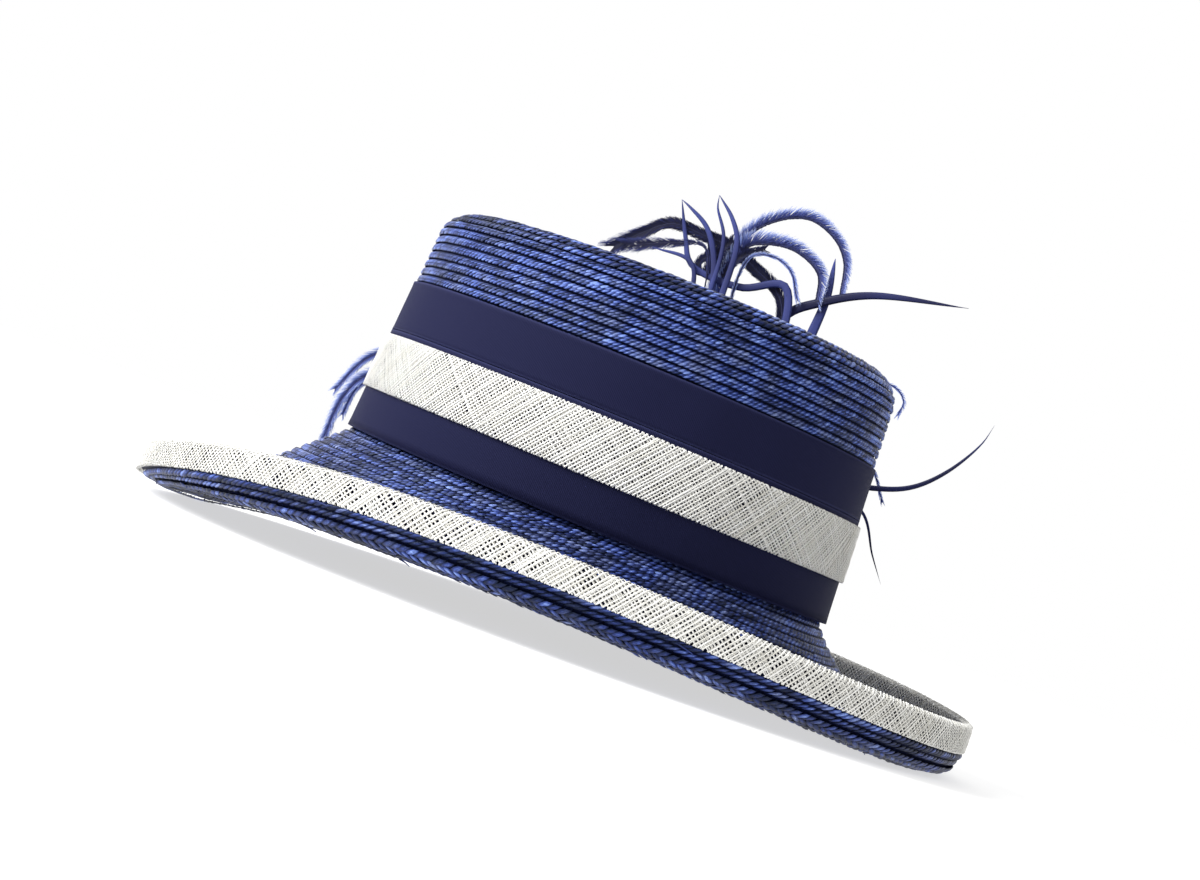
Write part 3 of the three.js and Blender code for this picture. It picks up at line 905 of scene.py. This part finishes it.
# Kind, width, and points from the head's middle: to the back, up and out
FEATHERS = [
    ("biot", 3.2, [(-8, 6, 0), (-16, 52, 2), (-25, 83, 3), (-34, 96, 3), (-45, 102, 3), (-50, 104, 4)]),
    ("biot", 3.6, [
        (10, 4, 1), (16, 60, 4), (8, 84, 5), (-10, 77, 5), (-35, 79, 5), (-42, 89, 5), (-50, 104, 4),
    ]),
    ("biot", 3.2, [(-6, 6, -1), (-14, 60, 0), (-18, 94, 1), (-24, 103, 1), (-34, 111, 2)]),
    ("biot", 2.4, [(-10, 6, 0), (-20, 60, 2), (-25, 94, 3), (-33, 106, 3), (-34, 111, 2)]),
    ("plume", 4.6, [
        (8, 2, 3), (14, 50, 6), (9, 77, 7), (-8, 87, 7), (-22, 92, 7), (-36, 93, 7), (-51, 93, 7),
        (-62, 85, 7), (-72, 75, 7),
    ]),
    ("tuft", 3.0, [(-8, 4, 2), (-22, 60, 4), (-32, 88, 5), (-46, 85, 5), (-66, 77, 5)]),
    ("biot", 2.6, [(-10, 2, 1), (-26, 50, 3), (-34, 79, 3), (-54, 80, 3)]),
    ("hackle", 6.0, [
        (-2, 8, 5), (-20, 60, 8), (-18, 97, 9), (-10, 108, 9), (5, 115, 9), (19, 111, 9), (27, 103, 9),
        (31, 89, 9),
    ]),
    ("hackle", 7.0, [
        (0, 8, 3), (-16, 60, 6), (-15, 94, 7), (-9, 98, 7), (5, 100, 7), (19, 94, 7), (23, 82, 7),
    ]),
    ("wisp", 4.0, [(2, 8, 1), (-10, 60, 3), (-11, 90, 4), (-2, 94, 4), (8, 91, 4), (16, 80, 4)]),
    ("biot", 5.0, [(8, 6, 3), (24, 45, 9), (26, 71, 9), (26, 87, 9), (23, 103, 9)]),
    ("blade", 4.2, [(6, 8, 4), (6, 45, 7), (13, 73, 7), (25, 83, 7), (44, 93, 7), (85, 102, 7)]),
    ("soft", 7.0, [
        (-12, 2, 2), (-60, 10, 2), (-100, 9, -10), (-128, 0, -26), (-142, -12, -33), (-151, -30, -33),
    ]),
    ("soft", 8.0, [
        (-12, -3, 1), (-60, 2, 0), (-100, -4, -12), (-127, -11, -28), (-139, -20, -35),
        (-145, -32, -35), (-146, -55, -35),
    ]),
    ("soft", 6.0, [
        (-12, 5, 0), (-60, 5, 4), (-100, 1, -6), (-130, -10, -22), (-143, -25, -29), (-145, -39, -29),
    ]),
    ("blade", 2.4, [
        (12, 4, 2), (45, 12, 5), (78, 18, 5), (92, 24, 5), (103, 35, 5), (112, 51, 5), (114, 60, 5),
    ]),
    ("blade", 1.6, [(12, 0, 3), (48, 12, 7), (76, 7, 7), (87, -8, 7), (95, -18, 7)]),
    ("wisp", 3.0, [(12, 2, 4), (46, 34, 8), (72, 26, 8), (82, 14, 8)]),
    ("wisp", 3.0, [(10, 8, 2), (42, 52, 5), (60, 60, 5), (70, 60, 5), (75, 56, 5), (75, 50, 5)]),
]


def smooth_curve(knots, count):
    """Points along a smooth curve through the knots, evenly spaced."""
    knots = np.array(knots, dtype=float)
    ends = np.concatenate([[2 * knots[0] - knots[1]], knots, [2 * knots[-1] - knots[-2]]])
    pieces = []
    for i in range(len(knots) - 1):
        p0, p1, p2, p3 = ends[i:i + 4]
        gaps = [max(np.linalg.norm(q - p), 1e-6) ** 0.5 for p, q in ((p0, p1), (p1, p2), (p2, p3))]
        m1 = gaps[1] * ((p1 - p0) / gaps[0] - (p2 - p0) / (gaps[0] + gaps[1]) + (p2 - p1) / gaps[1])
        m2 = gaps[1] * ((p2 - p1) / gaps[1] - (p3 - p1) / (gaps[1] + gaps[2]) + (p3 - p2) / gaps[2])
        t = np.linspace(0, 1, 40, endpoint=False)[:, None]
        pieces.append((2 * t ** 3 - 3 * t ** 2 + 1) * p1 + (t ** 3 - 2 * t ** 2 + t) * m1
                      + (3 * t ** 2 - 2 * t ** 3) * p2 + (t ** 3 - t ** 2) * m2)
    fine = np.concatenate(pieces + [knots[-1:]])
    along = np.concatenate([[0], np.cumsum(np.linalg.norm(np.diff(fine, axis=0), axis=1))])
    even = np.linspace(0, along[-1], count)
    return np.stack([np.interp(even, along, fine[:, i]) for i in range(3)], axis=1)


def feather_frame(line):
    """The ways along a line, out from the hat, and across both."""
    way = np.gradient(line, axis=0)
    way /= np.linalg.norm(way, axis=1)[:, None]
    out = np.array([-1.0, 0, 0]) + way * way[:, :1]
    out /= np.linalg.norm(out, axis=1)[:, None]
    return way, out, np.cross(way, out)


def tube(line, half_wide, half_thick, tone):
    """A closed tapering tube with a flat six-sided section along a line."""
    sides = 6
    _, out, across = feather_frame(line)
    turn = np.arange(sides) * FULL_TURN / sides
    ring = (
        line[:, None]
        + across[:, None] * (half_wide[:, None] * np.cos(turn))[..., None]
        + out[:, None] * (half_thick[:, None] * np.sin(turn))[..., None]
    )
    n = len(line)
    grid = np.arange(n * sides).reshape(n, sides)
    turned = np.roll(grid, -1, axis=1)
    side_faces = np.stack([grid[:-1], turned[:-1], turned[1:], grid[1:]], axis=-1).reshape(-1, 4)
    first, last = grid[0][::-1], grid[-1]
    caps = np.array([end[[0, i, i + 1, i + 2]] for end in (first, last) for i in (1, 3)])
    faces = np.concatenate([side_faces, caps])[:, ::-1]
    return ring.reshape(-1, 3), faces, np.repeat(tone, sides), np.zeros((n * sides, 2))


def barbs(line, start, length_at, side, angle, density, tones, layers):
    """Fine barbs along one side of a shaft, each a narrow curved blade drawn to a point."""
    way, out, across = feather_frame(line)
    run = np.concatenate([[0], np.cumsum(np.linalg.norm(np.diff(line, axis=0), axis=1))])
    count = int((1 - start) * run[-1] * density) * layers
    share = np.sort(start + (1 - start) * chance.random(count))
    at = share * (len(line) - 1)
    i = np.minimum(at.astype(int), len(line) - 2)
    u = (at - i)[:, None]

    def pick(values):
        return values[i] * (1 - u) + values[i + 1] * u

    root, forward, outward, sideways = pick(line), pick(way), pick(out), side * pick(across)
    steps = 4
    t = np.linspace(0, 1, steps)[None, :, None]
    reach = (length_at(share) * (1 + chance.normal(0, 0.06, count)))[:, None, None]
    lean_angle = angle + chance.normal(0, 0.06, count)[:, None, None]
    first = sideways[:, None] * np.cos(lean_angle) + forward[:, None] * np.sin(lean_angle)
    bend = forward[:, None] * 0.45 + outward[:, None] * chance.normal(0, 0.28, (count, 1, 1))
    centre = root[:, None] + reach * (first * t + bend * t ** 2 * 0.6)
    wide = 0.13 * (1 - t) + 0.03
    along = forward[:, None] * np.cos(lean_angle) - sideways[:, None] * np.sin(lean_angle)
    left, right = centre - along * wide, centre + along * wide
    points = np.stack([left, right], axis=2)
    grid = np.arange(steps * 2).reshape(steps, 2)
    cell = np.stack([grid[:-1, 0], grid[:-1, 1], grid[1:, 1], grid[1:, 0]], axis=-1)
    faces = (cell[None] + (np.arange(count) * steps * 2)[:, None, None]).reshape(-1, 4)
    low, high = tones
    tone = low + (high - low) * t ** 1.2 + chance.normal(0, 0.04, (count, 1, 1)) + np.zeros((1, 1, 2))
    return points.reshape(-1, 3), faces, np.clip(tone, 0, 1).ravel(), np.zeros((count * steps * 2, 2))


def arch(share, start, rise, power):
    """Short at both ends and longest between, as a vane's barbs are."""
    return np.sin(math.pi * (start + rise * share).clip(0, 1)) ** power


def vanes(kind, width):
    """A feather's vanes: start, barb length along the shaft, side, angle, barbs per mm, tones, layers."""
    if kind == "hackle":
        return [
            (0.36, lambda s: width * 0.42 * arch(s, 0.16, 0.74, 0.6), 1, 0.95, 6.5, (0.14, 0.50), 2),
            (0.36, lambda s: width * 1.05 * arch(s, 0.16, 0.74, 0.6), 1, 0.80, 6.0, (0.26, 1.0), 2),
            (0.36, lambda s: width * 0.20 * (1 - 0.5 * s), -1, 1.0, 5.0, (0.08, 0.30), 2),
        ]
    if kind == "plume":
        near = lambda s: width * 1.05 * arch(s, 0.2, 0.6, 0.5)
        tips = lambda s: width * (0.55 + 1.0 * np.clip((s - 0.78) / 0.2, 0, 1))
        return [
            vane
            for side in (1, -1)
            for vane in (
                (0.30, near, side, 0.95, 6.0, (0.04, 0.18), 3),
                (0.72, tips, side, 0.95, 3.0, (0.04, 0.5), 2),
            )
        ]
    if kind == "soft":
        core = lambda s: width * 0.26 * arch(s, 0.2, 0.66, 0.6)
        wide = lambda s: width * 0.72 * arch(s, 0.2, 0.66, 0.6)
        return [
            vane
            for side, tones in ((-1, (0.55, 1.15)), (1, (0.40, 0.95)))
            for vane in (
                (0.50, core, side, 1.0, 6.0, (0.25, 0.65), 2),
                (0.50, wide, side, 1.0, 4.0, tones, 2),
            )
        ]
    if kind == "wisp":
        fine = lambda s: width * (0.35 + 0.3 * s)
        return [
            (0.45, fine, 1, 1.15, 5.0, (0.55, 1.0), 1),
            (0.45, fine, -1, 1.2, 4.0, (0.50, 0.95), 1),
        ]
    tips = lambda s: width * (0.4 + 1.3 * np.clip((s - 0.7) / 0.2, 0, 1))
    return [(0.60, tips, side, 0.95, 4.0, (0.04, 0.5), 2) for side in (1, -1)]


def shaft(kind, width, line):
    """A bare blade, or the thin tapering shaft that carries vanes."""
    share = np.linspace(0, 1, SHAFT_STEPS)
    if kind not in ("biot", "blade"):
        thick = 0.55 * (1 - share) + 0.12
        return tube(line, thick, thick * 0.7, 0.10 + 0.12 * share)
    if kind == "biot":
        full = (0.55 + 0.45 * np.sin(math.pi * share ** 0.8) - 0.5 * share ** 14).clip(0.04)
    else:
        full = (0.45 + 0.55 * np.sin(math.pi * share ** 0.8) - 0.45 * share ** 6).clip(0.04)
    foot_tone = 0.30 if kind == "biot" else 0.12
    tone = foot_tone + 0.14 * np.sin(share * 9 + width) ** 2 + 0.10 * share ** 4
    return tube(line, width / 2 * full, np.full(SHAFT_STEPS, 0.28) * full.clip(0.3), tone)


def make_feathers(material):
    skin_x = -CROWN_WIDTH / 2 + drawn_in(HEAD_UP) - 2 * CLEARANCE - RIBBON - SINAMAY
    head = np.array([skin_x - CLEARANCE - HEAD_SIZE[0], 0, HEAD_UP])

    def curve(knots, count):
        return lean(smooth_curve([head + np.array([-out, back, up]) for back, up, out in knots], count))

    blades, fluff = [], []
    for kind, width, knots in FEATHERS:
        line = curve(knots, SHAFT_STEPS)
        blades.append(shaft(kind, width, line))
        if kind not in ("biot", "blade"):
            fluff.extend(barbs(line, *vane) for vane in vanes(kind, width))
    for _ in range(KNOT_TUFTS):
        back, up = chance.uniform(-30, -14), chance.uniform(84, 92)
        tip = (back + chance.normal(0, 5), up + 6, 7)
        line = curve([(-12, 30, 3), (-20, 68, 5), (back - 3, up - 6, 6), (back, up, 6), tip], 30)
        tuft = lambda s: 2.6 * (0.5 + 0.5 * s)
        for side in (1, -1):
            fluff.append(barbs(line, 0.74, tuft, side, 0.7, 7.0, (0.03, 0.30), 2))
    join_rows("feather_shafts", blades, material, "feather_spray")
    join_rows("feather_barbs", fluff, material)

    deselect()
    bpy.ops.mesh.primitive_uv_sphere_add(segments=40, ring_count=24, radius=1)
    knot = bpy.context.object
    knot.name = knot.data.name = "feather_head"
    bpy.ops.transform.resize(value=tuple(size * MM * 0.92 for size in HEAD_SIZE))
    bpy.ops.object.transform_apply(location=False, rotation=False, scale=True)
    place = lean(head) * MM
    for vertex in knot.data.vertices:
        wound = 1 + 0.05 * math.sin(vertex.co.y / (0.9 * MM) + vertex.co.z / (2.2 * MM))
        vertex.co.x *= wound
        vertex.co.z *= wound
        vertex.co += Vector(place)
    knot.data.shade_smooth()
    knot.data.attributes.new("tone", "FLOAT", "POINT").data.foreach_set(
        "value", np.full(len(knot.data.vertices), 0.12, dtype=np.float32))
    finish_piece(knot, material)


add_camera()
set_stage()
straw = straw_material()
shadow = straw_shadow_material()
sinamay = sinamay_material()
feather = feather_material()

make_crown(straw, shadow)
brim_skin = make_brim(straw, shadow)
make_ribbon("ribbon_lower", CROWN_FOOT, LOWER_RIBBON, 0.4)
make_ribbon("ribbon_upper", CROWN_FOOT + LOWER_RIBBON + CLEARANCE, UPPER_RIBBON, 2.1)
make_band(sinamay)
make_binding(brim_skin, sinamay)
make_feathers(feather)
